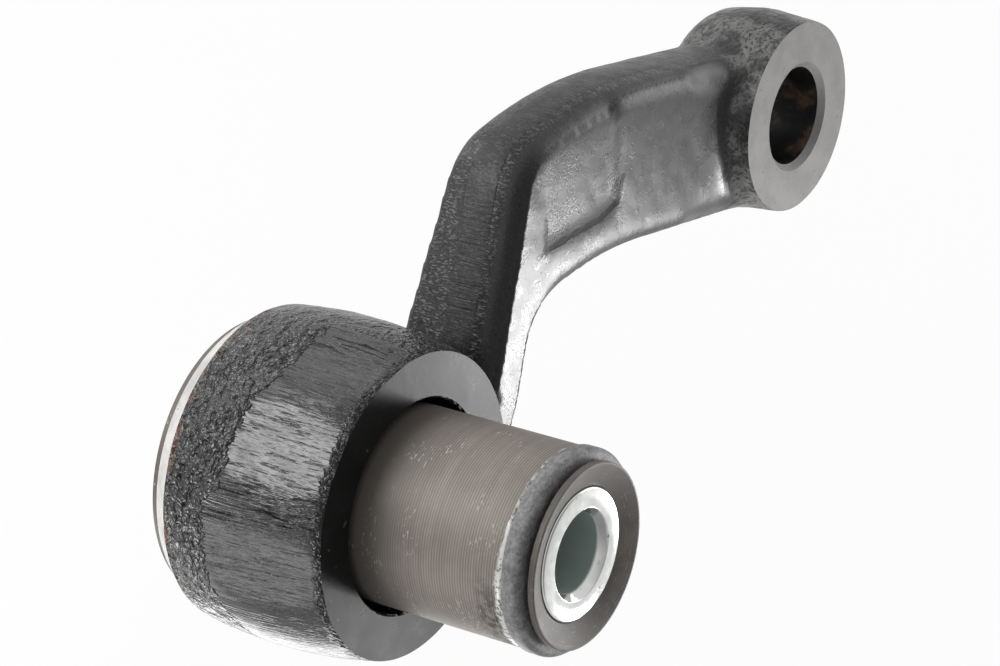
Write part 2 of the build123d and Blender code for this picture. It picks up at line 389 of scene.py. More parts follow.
def finish_material(material, tint, roughness, height, metallic=0.0, specular=0.5):
    """Feeds a material's shader. The height is in millimetres."""
    bump = height.make("ShaderNodeBump", {"Height": height, "Distance": MM, "Strength": 1.0})
    tree = material.node_tree
    fill(tree, tree.nodes["Principled BSDF"], {
        "Base Color": tint, "Roughness": roughness, "Normal": bump, "Metallic": metallic,
        "Specular IOR Level": specular})
    return material


def forging_paint(settings):
    """Black paint over the forged skin, smooth and scratched where the flash was trimmed."""
    material, place = start_material("forging_paint")
    coarse = place.cloud(420.0, 3.0, 0.6)
    ragged = (coarse - 0.5) * 1.1
    streaks = (place.stretch(1.0, 1.0, 0.04).cloud(900.0, 2.0, 0.6) - 0.5) * 1.4
    trimmed = place.zone("trimmed", ragged * 0.6 + streaks)
    band = place.zone("band", ragged * 0.35)
    crease = place.zone("crease", ragged)
    leathery, front, small_boss, side = (
        place.zone(name) for name in ("leathery", "front", "small_boss", "side"))
    smooth = trimmed.sum("MAXIMUM", band, clamp=True)

    skin = place.use("Forged skin", Leather=leathery, Lumps=front.fade(0.7, 0.22))
    _, heading = place.polar()
    wide, narrow = (heading.near_heading(*score) for score in DEEP_SCORES)
    scored = (wide | narrow) * trimmed
    scratches = place.use("Trim scratches", Depth=scored.fade(band.fade(1.5, 0.8), 5.0))
    # Painted glints: pale flecks across the limb's sides, with a faint bump
    glint_flecks = place.stretch(1.0, 1.0, 0.35).cloud(3300.0, 1.0).ramp(0.53, 0.62)
    glint_flecks = glint_flecks * place.cloud(350.0, 2.0).ramp(0.30, 0.48) * side * band.fade(1.0, 0.3)
    cells = place.make("ShaderNodeTexVoronoi", {"Vector": place, "Scale": 1300.0}, "Distance")
    pits = cells.ramp(0.10, 0.28, 1.0, 0.0) * place.cloud(450.0, 2.0).ramp(0.50, 0.60)
    pits = pits * (front | small_boss * 0.8)
    rubbed = small_boss * place.cloud(210.0, 3.0, 0.6).ramp(0.42, 0.58)
    rubbed = rubbed * place.cloud(1500.0, 2.0, 0.6).ramp(0.36, 0.50)
    # Painted glints: pale specks in the grain, stronger on the leathery skin
    glint_share = smooth.fade(leathery.fade(0.12, 0.45), 0.2)

    tint = (rubbed * 0.75).blend(settings.paint, settings.worn)
    tint = (skin["Glint speckle"] * glint_share).blend(tint, settings.worn)
    tint = (place.zone("back_edge") * coarse.ramp(0.45, 0.62)).blend(tint, settings.rust)
    tint = (glint_flecks * 0.5).blend(tint, settings.worn)
    # Painted shade: the pits and the die's crease are painted near-black
    tint = (pits | crease).blend(tint, PAINTED_PIT_SHADE)

    gloss = trimmed.fade(front.fade(leathery.fade(0.40, 0.21), 0.26), 0.17)
    dull = place.cloud(260.0, 3.0).ramp(0.35, 0.7) * front.fade(0.10, 0.04)
    sunk = skin["Height"] * front.fade(1.0, 0.65) + glint_flecks * 0.03 - crease * 0.25
    height = smooth.fade(sunk, scratches["Height"] + 0.20)

    # Metallic over near-black paint mirrors nothing: painted shade in creases, grooves and edges
    # Painted shade also on the barrel's underside, the limb's sides, the rim and the pits
    shaded = heading.near_heading(*UNDERSIDE) * place.zone("barrel")
    grooves = scratches["Groove"] * (trimmed * scored.fade(0.35, 1.0))
    painted_shade = smooth.fade(skin["Creases"] * leathery, grooves)
    painted_shade = painted_shade | shaded * 0.62 | side * 0.30 | place.zone("rim") * 0.7
    painted_shade = painted_shade | pits * 0.8 | crease * 0.55
    return finish_material(material, tint, gloss + dull, height, painted_shade)


def face_paint(settings):
    """Thin paint over the big boss's machined face."""
    material, place = start_material("face_paint")
    lines = place.turning(0.3 * MM)
    patches = place.cloud(150.0, 3.0, 0.6)
    tint = patches.ramp(0.45, 0.7).blend(settings.paint, scaled(settings.paint, 1.5))
    nicks = place.cloud(520.0, 1.0).ramp(0.74, 0.78)
    tint = nicks.blend(tint, NICKED_PAINT)
    height = lines * 0.004 + place.cloud(700.0, 2.0) * 0.012
    roughness = patches.ramp(0.3, 0.7, 0.27, 0.30)
    return finish_material(material, tint, roughness, height, specular=0.09)


def hole_paint(settings):
    """Dark paint that ran into the stud hole."""
    material, place = start_material("hole_paint")
    lines = place.turning(0.6 * MM, EYE_X)
    patches = place.cloud(240.0, 3.0, 0.6)
    tint = patches.ramp(0.5, 0.7).blend(settings.paint, settings.rust)
    return finish_material(material, tint, patches.ramp(0.3, 0.7, 0.3, 0.45), lines * 0.01)


def machined_steel(name, settings, centre_x, shade, level=1.0):
    """Bare steel with turning lines. A level above 1 paints a highlight into the steel's colour."""
    material, place = start_material(name)
    lines = place.turning(0.35 * MM, centre_x)
    steel = scaled(settings.bare_steel, level)
    tint = place.cloud(180.0, 3.0, 0.6).ramp(0.35, 0.65).blend(scaled(steel, shade), steel)
    tint = place.cloud(1300.0, 2.0).ramp(0.68, 0.74).blend(tint, STEEL_STAIN)
    roughness = lines.ramp(0.3, 0.7, 0.54, 0.64)
    return finish_material(material, tint, roughness, lines * 0.004, 0.55)


def tube_steel(settings):
    """Phosphated steel with even turning lines, worn bright along its free end, with painted glints
    and painted shade towards the arm.
    """
    material, place = start_material("tube_steel")
    lines = place.turning(0.46 * MM)
    along = place.split()[2]
    coarse = place.cloud(420.0, 3.0, 0.6)
    level = along + (coarse - 0.5) * (1.6 * MM)
    _, heading = place.polar()
    knocked = heading.near_heading(*KNOCKED)
    edge = knocked.fade(TUBE_HIGH.z - WORN_BACK, TUBE_HIGH.z - KNOCKED_BACK)
    worn = (level - edge).ramp(-WEAR_SOFT, WEAR_SOFT) * place.cloud(1500.0, 2.0).ramp(0.36, 0.5)
    # Painted glints: short pale dashes along the turning lines, painted in the colour of the wear
    dashes = place.stretch(1.0, 1.0, 4.0).cloud(1000.0, 2.0, 0.6)
    glints = dashes.ramp(0.60, 0.68) * place.cloud(130.0, 2.0).ramp(0.50, 0.64)
    smear = level.ramp(*(TUBE_HIGH.z - behind for behind in SMEAR_ENDS))
    smear = heading.near_heading(*SMEARED) * smear
    smear = smear * place.cloud(700.0, 3.0).ramp(0.42, 0.58)
    wear_and_glints = worn | glints * 0.55
    base = settings.tube_colour
    tint = lines.ramp(0.25, 0.75).blend(scaled(base, 0.74), scaled(base, 1.22))
    tint = (coarse.ramp(0.35, 0.7) * 0.2).blend(tint, scaled(base, 0.6))
    tint = (smear * 0.8).blend(tint, TUBE_DIRT)
    # Painted shade: the tube darkens towards the arm's face
    tint = along.ramp(TUBE_SHADE, 0.0).blend(tint, scaled(base, 0.5))
    tint = wear_and_glints.blend(tint, TUBE_WEAR_AND_GLINT)
    return finish_material(material, tint, wear_and_glints.fade(0.56, 0.28), lines * 0.022, 0.35)


def zinc_plate(settings):
    """Bright zinc, slightly clouded, with a painted dark reflection on one side of the countersink.
    """
    material, place = start_material("zinc_plate")
    lines = place.turning(0.3 * MM)
    clouds = place.cloud(500.0, 3.0, 0.6)
    radius, heading = place.polar()
    bore = radius.ramp(*BORE_ENDS)
    sink = radius.window(*SINK) * heading.near_heading(*SHADED_SINK_HEADING)
    tint = clouds.ramp(0.3, 0.7).blend(scaled(settings.zinc, 0.93), settings.zinc)
    tint = place.cloud(900.0, 3.0).ramp(0.66, 0.72).blend(tint, DULL_ZINC)
    tint = bore.blend(tint, BORE_ZINC)
    # Painted reflection: a dark band on one side of the countersink
    tint = (sink * 0.75).blend(tint, SINK_PAINTED_SHADE)
    roughness = clouds.ramp(0.3, 0.7, 0.09, 0.15)
    return finish_material(material, tint, roughness, lines * 0.004, bore.fade(0.9, 0.2))


def moulded_plastic(settings):
    """Dark moulded plastic with faint rings from its mould."""
    material, place = start_material("liner_plastic")
    lines = place.turning(0.8 * MM)
    clouds = place.cloud(260.0, 3.0, 0.6)
    tint = clouds.ramp(0.3, 0.75).blend(scaled(settings.liner, 0.6), settings.liner)
    scuffs = lines.ramp(0.55, 0.8) * place.cloud(700.0, 3.0).ramp(0.52, 0.66)
    tint = (scuffs * 0.6).blend(tint, scaled(settings.liner, 2.4))
    return finish_material(material, tint, clouds.ramp(0.3, 0.7, 0.46, 0.58), lines * 0.003)


def seal_rubber(settings):
    """Matt black rubber with a fine grain."""
    material, place = start_material("seal_rubber")
    grain = place.cloud(1800.0, 3.0, 0.6)
    tint = grain.ramp(0.35, 0.75).blend(scaled(settings.rubber, 0.5), settings.rubber)
    scuffs = place.stretch(1.0, 1.0, 2.5).cloud(420.0, 3.0, 0.6).ramp(0.50, 0.66)
    tint = (scuffs * 0.25).blend(tint, scaled(settings.rubber, 1.9))
    roughness = place.cloud(300.0).ramp(0.3, 0.7, 0.42, 0.58)
    return finish_material(material, tint, roughness, grain * 0.03)


# ---- mesh helpers

MERGE = 1e-6                    # vertices closer together than this are made one
SHARP = 30                      # faces that meet at a greater angle than this have a sharp edge
PATH_RADIUS = 10 * MM           # radius of the path that outlines are swept along
STOCK = 1.6 * MM                # how far the faces stand proud before they are machined
OVERRUN = 6 * MM                # how far the cutters reach past the faces
BIG_CUTTER = 30 * MM            # radius of the cutters beyond the faces
SMALL_CUTTER = 22 * MM
EYE_DEPTH = 19.6 * MM           # depth of the small boss
RELIEF_EDGE = 0.3 * MM          # broken edge of the opening around the tube
CHAMFER_TOP = 24.95 * MM        # radius at which the chamfer at the back has its full depth
CHAMFER_END = 26.5 * MM         # radius that its slope runs on to
FACE_REACH = 26 * MM            # radii within which a level face is a machined one
EYE_FACE_REACH = 18 * MM
PARTING = -11.5 * MM            # height of the plane that the forging dies meet on
STEP = -4.35 * MM               # middle height of the die step in the limb's front
BAND_HALF = 2.8 * MM            # half width of the band left where the flash was trimmed off
TRIMMED_TOP = -1.4 * MM         # upper border of the belt trimmed on the barrel
TRIMMED_SOFT = 2.4 * MM         # width of the soft border of the belt, in height and in degrees
TRIMMED_SOFT_HEADING = 6
# The belt's lower border: heading and height
TRIMMED_BOTTOM = (
    (73, -15 * MM), (111, -15.5 * MM), (116, -17.5 * MM), (147, -18 * MM), (153, -20.5 * MM),
    (178, -21 * MM), (197, -19 * MM), (228, -17 * MM))
# The crease that the die left on the limb's front, in millimetres
CREASE = ((48.6, 19.6), (47.1, 15.3), (55.4, 13.4), (62.5, 11.8), (67.5, 11.9), (69.8, 15.3))

# Numbers of the forging's finishes on its mesh
FORGED, BIG_FACE, CHAMFER, SMALL_FACE, STUD_HOLE = range(5)


def new_object(name, mesh):
    """Links a mesh to the scene as an object at the origin."""
    made = bpy.data.objects.new(name, mesh)
    bpy.context.scene.collection.objects.link(made)
    return made


def evaluated_mesh(thing):
    """The object's mesh with its modifiers applied and removed."""
    view = bpy.context.evaluated_depsgraph_get()
    mesh = bpy.data.meshes.new_from_object(thing.evaluated_get(view))
    thing.modifiers.clear()
    old = thing.data
    thing.data = mesh
    bpy.data.meshes.remove(old)
    return mesh


@contextmanager
def opened(mesh):
    """A mesh opened for editing, and written back at the end."""
    build = bmesh.new()
    build.from_mesh(mesh)
    yield build
    build.to_mesh(mesh)
    build.free()


def solid_of_revolution(name, profile, segments, centre_x=0.0):
    """A closed solid turned round an axis along Z. The profile starts and ends on the axis."""
    build = bmesh.new()
    rings = []
    for radius, height in profile:
        if radius == 0:
            rings.append([build.verts.new((centre_x, 0, height))])
            continue
        rings.append([
            build.verts.new((centre_x + radius * cos(2 * pi * step / segments),
                             radius * sin(2 * pi * step / segments), height))
            for step in range(segments)])
    for lower, upper in zip(rings, rings[1:]):
        for step in range(segments):
            after = (step + 1) % segments
            corners = [lower[step % len(lower)], lower[after % len(lower)],
                       upper[after % len(upper)], upper[step % len(upper)]]
            # Where a ring is a single vertex on the axis, the face is a triangle
            build.faces.new(list(dict.fromkeys(corners)))
    bmesh.ops.recalc_face_normals(build, faces=build.faces)
    mesh = bpy.data.meshes.new(name)
    build.to_mesh(mesh)
    build.free()
    return new_object(name, mesh)


def rounded_profile(corners, steps=4):
    """A closed outline from corners (radius, height, edge round), with each edge as an arc."""
    outline = []
    reach_limit = 0.48
    for place, (x, y, edge) in enumerate(corners):
        here = Vector((x, y))
        if edge <= 0:
            outline.append(here)
            continue
        before = Vector(corners[place - 1][:2]) - here
        after = Vector(corners[(place + 1) % len(corners)][:2]) - here
        half = before.angle(after) / 2
        reach = min(edge / np.tan(half), before.length * reach_limit, after.length * reach_limit)
        radius = reach * np.tan(half)
        inward = (before.normalized() + after.normalized()).normalized()
        middle = here + inward * (radius / sin(half))
        first = here + before.normalized() * reach - middle
        last = here + after.normalized() * reach - middle
        sweep = atan2(first.x * last.y - first.y * last.x, first.dot(last))
        outline.extend(middle + Matrix.Rotation(sweep * step / steps, 2) @ first
                       for step in range(steps + 1))
    return outline


def turned_piece_tree():
    """Geometry nodes that turn a piece's own outline round the pivot."""
    tree = bpy.data.node_groups.new("Turned piece", "GeometryNodeTree")
    face = tree.interface
    face.new_socket("Outline", in_out="INPUT", socket_type="NodeSocketGeometry")
    face.new_socket("Segments", in_out="INPUT", socket_type="NodeSocketInt").default_value = 128
    face.new_socket("Path radius", in_out="INPUT",
                    socket_type="NodeSocketFloat").default_value = PATH_RADIUS
    face.new_socket("Finish", in_out="INPUT", socket_type="NodeSocketMaterial")
    face.new_socket("Piece", in_out="OUTPUT", socket_type="NodeSocketGeometry")
    given = tree.nodes.new("NodeGroupInput").outputs
    out = tree.nodes.new("NodeGroupOutput")
    path = node(tree, "GeometryNodeCurvePrimitiveCircle",
                {"Resolution": given["Segments"], "Radius": given["Path radius"]})
    inward = Value(tree, given["Path radius"]) * -1.0
    offset = inward.make("ShaderNodeCombineXYZ", {0: inward})
    outline = node(tree, "GeometryNodeMeshToCurve", {"Mesh": given["Outline"]})
    moved = node(tree, "GeometryNodeTransform",
                 {"Geometry": outline.outputs[0], "Translation": offset})
    turned = node(tree, "GeometryNodeCurveToMesh",
                  {"Curve": path.outputs[0], "Profile Curve": moved.outputs[0]})
    real = node(tree, "GeometryNodeRealizeInstances", {0: turned.outputs[0]})
    finished = node(tree, "GeometryNodeSetMaterial",
                    {"Geometry": real.outputs[0], "Material": given["Finish"]})
    tree.links.new(finished.outputs[0], out.inputs["Piece"])
    return tree


def turned_piece(name, corners, material, segments):
    """Turns an outline round the pivot and gives the piece its finish."""
    outline = rounded_profile(corners)
    mesh = bpy.data.meshes.new(name)
    count = len(outline)
    mesh.from_pydata([(point.x, -point.y, 0) for point in outline],
                     [(place, (place + 1) % count) for place in range(count)], [])
    piece = new_object(name, mesh)
    tree = bpy.data.node_groups.get("Turned piece") or turned_piece_tree()
    modifier = piece.modifiers.new("turned", "NODES")
    modifier.node_group = tree
    sockets = {item.name: item.identifier for item in tree.interface.items_tree
               if item.item_type == "SOCKET" and item.in_out == "INPUT"}
    modifier[sockets["Segments"]] = segments
    modifier[sockets["Path radius"]] = PATH_RADIUS
    modifier[sockets["Finish"]] = material
    tidy_normals(evaluated_mesh(piece), SHARP)
    return piece


def tidy_normals(mesh, sharp_degrees):
    """Merges doubles, points the faces outwards and shades all but the sharp edges smooth."""
    with opened(mesh) as build:
        bmesh.ops.remove_doubles(build, verts=build.verts, dist=MERGE)
        bmesh.ops.recalc_face_normals(build, faces=build.faces)
    mesh.polygons.foreach_set("use_smooth", [True] * len(mesh.polygons))
    mesh.set_sharp_from_angle(angle=radians(sharp_degrees))
    mesh.update()


def rows(items, field, width=3, kind=float):
    """One field of a mesh's vertices, edges or faces, as a row of numbers for each."""
    flat = np.empty(len(items) * width, dtype=kind)
    items.foreach_get(field, flat)
    return flat.reshape(-1, width)


def ways(places):
    """Each place's distance from the pivot and from the small boss's axis."""
    return np.hypot(places[:, 0], places[:, 1]), np.hypot(places[:, 0] - EYE_X, places[:, 1])


def headings(places):
    """The direction in which each place lies from the pivot, in degrees."""
    return np.degrees(np.arctan2(places[:, 1], places[:, 0]))


def neighbour_mean(places, edges, counts):
    """The mean place of each vertex's neighbours."""
    total = np.zeros_like(places)
    np.add.at(total, edges[:, 0], places[edges[:, 1]])
    np.add.at(total, edges[:, 1], places[edges[:, 0]])
    return total / counts[:, None]


def relax(places, edges, counts, share, rounds):
    """Moves each vertex a share of the way to its neighbours' mean, a number of times."""
    for _ in range(rounds):
        places += share * (neighbour_mean(places, edges, counts) - places)


def rise(value, low, high):
    """0 below low, 1 above high, and a smooth rise between."""
    share = np.clip((value - low) / (high - low), 0, 1)
    return share * share * (3 - 2 * share)


def fall(value, low, high):
    """1 below low, 0 above high, and a smooth fall between."""
    return rise(-value, -high, -low)


def cut(piece, cutter):
    """Takes a cutter out of a piece and deletes the cutter."""
    modifier = piece.modifiers.new("cut", "BOOLEAN")
    modifier.operation = "DIFFERENCE"
    modifier.solver = "EXACT"
    modifier.object = cutter
    evaluated_mesh(piece)
    bpy.data.objects.remove(cutter)


def tube_bore(scene):
    """Radius inside the tube, where the liners are pressed in."""
    return scene.forging_settings.bore_radius - scene.bush_settings.tube_wall


# ---- operators


class DRESS_OT_forged_arm(bpy.types.Operator):
    """Builds the forged arm with blended junctions, a forged skin and crisp machined faces"""
    bl_idname = "dress.forged_arm"
    bl_label = "Forged arm"

    def execute(self, context):
        settings = context.scene.forging_settings
        arm = self.rough_forging(settings)
        self.blend_junctions(arm.data, settings.lump)
        self.machine(arm, settings)
        self.paint(arm, settings)
        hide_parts("idler_arm")
        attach(arm, "arm")
        return {"FINISHED"}

    def rough_forging(self, settings):
        """The arm before machining: its bores are filled and its faces stand proud."""
        back = ARM_LOW.z
        face = settings.face_radius - 0.1 * MM
        heel = settings.heel_radius + 2.1 * MM
        eye_face = settings.eye_face_radius - 0.06 * MM
        stud = settings.stud_radius + 2 * MM
        # Each filling: its axis, its facets and its rim, as radii and heights
        fillings = (
            (0.0, 128, ((face, STOCK), (face, -1 * MM), (settings.relief_radius + 3 * MM, -12 * MM),
                        (settings.heel_radius, back + 2 * MM))),
            (0.0, 128, ((heel, back + settings.heel_slope), (heel, back - STOCK))),
            (EYE_X, 96, ((eye_face, STOCK), (eye_face, -1 * MM), (stud, -3 * MM),
                         (stud, -EYE_DEPTH))))
        build = bmesh.new()
        build.from_mesh(frame["nodes"]["idler_arm"].data)
        bmesh.ops.remove_doubles(build, verts=build.verts, dist=MERGE)
        mesh = bpy.data.meshes.new("forged_arm")
        build.to_mesh(mesh)
        build.free()
        arm = new_object("forged_arm", mesh)
        with opened(mesh) as build:
            for centre_x, segments, rim in fillings:
                closed = ((0, rim[0][1]), *rim, (0, rim[-1][1]))
                filling = solid_of_revolution("filling", closed, segments, centre_x)
                build.from_mesh(filling.data)
                bpy.data.objects.remove(filling)
        remesh = arm.modifiers.new("skin", "REMESH")
        remesh.mode = "VOXEL"
        remesh.voxel_size = settings.voxel
        evaluated_mesh(arm)
        return arm

    def blend_junctions(self, mesh, lump):
        """Rounds the inner corners where the limb meets the bosses, and lumps the skin."""
        places, normals = (rows(mesh.vertices, field) for field in ("co", "normal"))
        edges = rows(mesh.edges, "vertices", 2, np.int64)
        counts = np.maximum(np.bincount(edges.ravel(), minlength=len(places)), 1)
        relax(places, edges, counts, 0.5, 22)
        self.soften_step(places)
        hollow = neighbour_mean(places, edges, counts) - places
        hollow = np.einsum("ij,ij->i", hollow, normals)
        pivot_way, eye_way = ways(places)
        depths = -places[:, 2]

        # The hollow places near the bosses, spread a little, and the limb's front by the small boss
        near = (pivot_way < 28 * MM) | (eye_way < 19.5 * MM)
        weight = ((hollow > 0.012 * MM) & near & (depths > 1.2 * MM)).astype(float)
        for _ in range(5):
            spread = neighbour_mean(weight[:, None], edges, counts)[:, 0]
            weight = np.maximum(weight, np.minimum(1.0, spread * 1.6))
        ramped = rise(eye_way, 16.8 * MM, 18 * MM) * fall(eye_way, 27 * MM, 31 * MM)
        ramped *= rise(normals[:, 2], 0.2, 0.5) * rise(depths, 0.3 * MM, 1.0 * MM)
        weight = np.minimum(np.maximum(weight, ramped), 1.0)[:, None]
        relax(places, edges, counts, 0.6 * weight, 60)

        # Lumps, in full on the bosses, weaker on the limb and weakest on the trimmed belt
        share = rise(-places[:, 2], 0.5 * MM, 2.5 * MM)
        share *= 0.35 + 0.65 * np.maximum(fall(pivot_way, 26 * MM, 27 * MM),
                                          fall(eye_way, 17 * MM, 19 * MM))
        share *= 1 - 0.8 * self.trimmed_share(places)
        heights = np.array([noise.noise(point * 210) + 0.5 * noise.noise(point * 520)
                            for point in map(Vector, places)])
        places += normals * (heights * share * lump)[:, None]
        places[:, :2] = np.clip(places[:, :2], np.array(ARM_LOW[:2]), np.array(ARM_HIGH[:2]))
        mesh.vertices.foreach_set("co", places.ravel())
        mesh.update()

    def soften_step(self, places):
        """Makes the die step in the limb's front shallow, and fades it out below the elbow."""
        along = places[:, 0]
        height = places[:, 2] - STEP
        near = (np.abs(height) < 0.6 * MM) & (along > 28 * MM) & (along < 92 * MM)
        fade = rise(along, 43 * MM, 50 * MM)
        places[near, 2] = (STEP + height * 0.6 * fade)[near]

    def machine(self, arm, settings):
        """Cuts the faces, the bores and the chamfer at the back."""
        back = ARM_LOW.z
        heel, relief, bore = settings.heel_radius, settings.relief_radius, settings.bore_radius
        seat = -settings.relief_depth
        slope = (CHAMFER_END - heel) / (CHAMFER_TOP - heel) * settings.heel_slope
        profile = (
            (0, OVERRUN), (BIG_CUTTER, OVERRUN), (BIG_CUTTER, 0), (relief + RELIEF_EDGE, 0),
            (relief, -RELIEF_EDGE), (relief, seat), (bore, seat), (bore, back), (heel, back),
            (CHAMFER_END, back + slope), (BIG_CUTTER, back + slope), (BIG_CUTTER, back - OVERRUN),
            (0, back - OVERRUN))
        cut(arm, solid_of_revolution("big_boss_cutter", profile, 180))
        stud, edge, bottom = settings.stud_radius, settings.stud_edge, -EYE_DEPTH - OVERRUN
        taper = (stud - settings.stud_back_radius) / (EYE_DEPTH - edge)
        profile = (
            (0, OVERRUN), (SMALL_CUTTER, OVERRUN), (SMALL_CUTTER, 0), (stud + edge, 0),
            (stud, -edge), (settings.stud_back_radius - taper * OVERRUN, bottom), (0, bottom))
        cut(arm, solid_of_revolution("small_boss_cutter", profile, 120, EYE_X))

    def paint(self, arm, settings):
        """Gives each face of the mesh the finish of its zone."""
        mesh = arm.data
        tidy_normals(mesh, 180)
        mesh.materials.clear()
        for material in (forging_paint(settings), face_paint(settings),
                         # The chamfer's steel is painted 2.6 times brighter: a painted highlight
                         # along the back edge
                         machined_steel("chamfer_steel", settings, 0.0, 0.75, 2.6),
                         machined_steel("small_face_steel", settings, EYE_X, 0.85),
                         hole_paint(settings)):
            mesh.materials.append(material)
        centres, turns = (rows(mesh.polygons, field) for field in ("center", "normal"))
        heights = centres[:, 2]
        pivot_way, eye_way = ways(centres)
        level = np.abs(heights) < 0.02 * MM
        chamfer = (heights < ARM_LOW.z + settings.heel_slope + 0.6 * MM) & (turns[:, 2] < -0.3)
        chamfer &= (pivot_way < FACE_REACH) & (pivot_way > settings.bore_radius)
        mouth = eye_way < settings.stud_radius + settings.stud_edge + 0.05 * MM
        hole = mouth & (eye_way < settings.stud_radius + 0.02 * MM)
        hole &= heights < -settings.stud_edge
        zone = np.full(len(mesh.polygons), FORGED, dtype=np.int32)
        zone[level & (pivot_way < FACE_REACH)] = BIG_FACE
        zone[level & (eye_way < EYE_FACE_REACH)] = SMALL_FACE
        zone[mouth] = SMALL_FACE
        zone[chamfer] = CHAMFER
        zone[hole] = STUD_HOLE
        mesh.polygons.foreach_set("material_index", zone)
        self.sharpen_cuts(mesh, (zone != FORGED) | (pivot_way < 17.5 * MM))
        self.mark_zones(mesh)

    def sharpen_cuts(self, mesh, machined):
        """Shades the edges along the machined faces sharp, and all the forging's edges smooth."""
        with opened(mesh) as build:
            for edge in build.edges:
                edge.smooth = not (edge.calc_face_angle(0) > radians(SHARP)
                                   and any(machined[face.index] for face in edge.link_faces))

    @staticmethod
    def trimmed_share(places):
        """How far inside the barrel's trimmed belt each place is, with the border at a half."""
        heading, height = headings(places) % 360, places[:, 2]
        bottom = np.interp(heading, *zip(*TRIMMED_BOTTOM))
        inside = np.minimum.reduce([
            (heading - TRIMMED_BOTTOM[0][0]) / TRIMMED_SOFT_HEADING,
            (TRIMMED_BOTTOM[-1][0] - heading) / TRIMMED_SOFT_HEADING,
            (TRIMMED_TOP - height) / TRIMMED_SOFT, (height - bottom) / TRIMMED_SOFT])
        return np.clip(0.5 + inside, 0, 1)

    @staticmethod
    def crease_distance(places):
        """Distance to the crease that the die left on the limb's front."""
        nearest = np.full(len(places), 1.0)
        line = np.array(CREASE) * MM
        for first, last in zip(line, line[1:]):
            along = last - first
            share = np.clip((places[:, :2] - first) @ along / (along @ along), 0, 1)
            gap = places[:, :2] - first - share[:, None] * along
            nearest = np.minimum(nearest, np.hypot(gap[:, 0], gap[:, 1]))
        return nearest

    def mark_zones(self, mesh):
        """Stores where the paint differs, as attributes from 0 to 1 with the border at a half."""
        places, turns = (rows(mesh.vertices, field) for field in ("co", "normal"))
        upward, depths = turns[:, 2], -places[:, 2]
        pivot_way, eye_way = ways(places)
        barrel = fall(pivot_way, 26.0 * MM, 27.0 * MM)
        eye = fall(eye_way, 17.2 * MM, 19.5 * MM)
        limb = (1 - barrel) * (1 - eye)
        upright = 1 - rise(np.abs(upward), 0.3, 0.5)

        # Beside the big boss's face, where the limb's front runs on over the barrel
        heading = headings(places)
        beside = rise(heading, -40, -30) * fall(heading, 76, 84)
        beside *= rise(pivot_way, 24.2 * MM, 24.8 * MM) * rise(depths, 1.6 * MM, 2.4 * MM)
        slanting = rise(upward, 0.2, 0.45) * beside * fall(pivot_way, 40 * MM, 44 * MM)
        front = rise(upward, 0.55, 0.85) * np.maximum(limb, beside * barrel)

        leathery = np.clip(barrel + 0.35 * eye + limb * (0.02 + 0.07 * upright), 0, 1)
        band = np.clip(0.5 + (BAND_HALF - np.abs(PARTING + depths)) / (1.2 * MM), 0, 1)
        marks = {
            "trimmed": self.trimmed_share(places) * barrel,
            "band": band * upright * limb,
            "front": front,
            "barrel": barrel,
            "leathery": leathery * (1 - 0.97 * np.maximum(front, slanting)),
            "side": upright * limb,
            "rim": fall(depths, 1.0 * MM, 1.9 * MM) * barrel,
            "crease": fall(self.crease_distance(places), 0, 1.0 * MM) * front,
            "small_boss": eye * (1 - rise(np.abs(upward), 0.75, 0.95)),
            "back_edge": rise(depths, 27.0 * MM, 28.2 * MM) * barrel,
        }
        for name, values in marks.items():
            mesh.attributes.new(name, "FLOAT", "POINT").data.foreach_set("value", values)


class DRESS_OT_bush_tube(bpy.types.Operator):
    """Turns the bush's tube with its flange"""
    bl_idname = "dress.bush_tube"
    bl_label = "Bush tube"

    def execute(self, context):
        settings = context.scene.bush_settings
        outside, flange = context.scene.forging_settings.bore_radius, TUBE_HIGH.x
        bore = tube_bore(context.scene)
        low, high = TUBE_LOW.z, TUBE_HIGH.z
        seat = low + settings.flange_thick
        corners = (
            (bore, low, 0.2 * MM), (flange, low, 0.35 * MM), (flange, seat, 0.35 * MM),
            (outside, seat, 0.0), (outside, high, 0.45 * MM), (bore, high, 0.2 * MM))
        tube = turned_piece("turned_tube", corners, tube_steel(settings), settings.segments)
        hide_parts("bush_tube")
        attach(tube, "arm")
        return {"FINISHED"}


class DRESS_OT_inner_sleeve(bpy.types.Operator):
    """Turns the zinc-plated inner sleeve"""
    bl_idname = "dress.inner_sleeve"
    bl_label = "Inner sleeve"

    def execute(self, context):
        settings = context.scene.bush_settings
        outside, bore, mouth = SLEEVE_HIGH.x, settings.sleeve_bore, settings.sleeve_mouth
        low, high, sink = SLEEVE_LOW.z, SLEEVE_HIGH.z, settings.sleeve_sink
        corners = (
            (bore, low + sink, 0.2 * MM), (mouth, low, 0.15 * MM), (outside, low, 0.4 * MM),
            (outside, high, 0.4 * MM), (mouth, high, 0.15 * MM), (bore, high - sink, 0.3 * MM))
        sleeve = turned_piece("zinc_sleeve", corners, zinc_plate(settings), settings.segments)
        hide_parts("inner_sleeve")
        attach(sleeve, "sleeve")
        return {"FINISHED"}


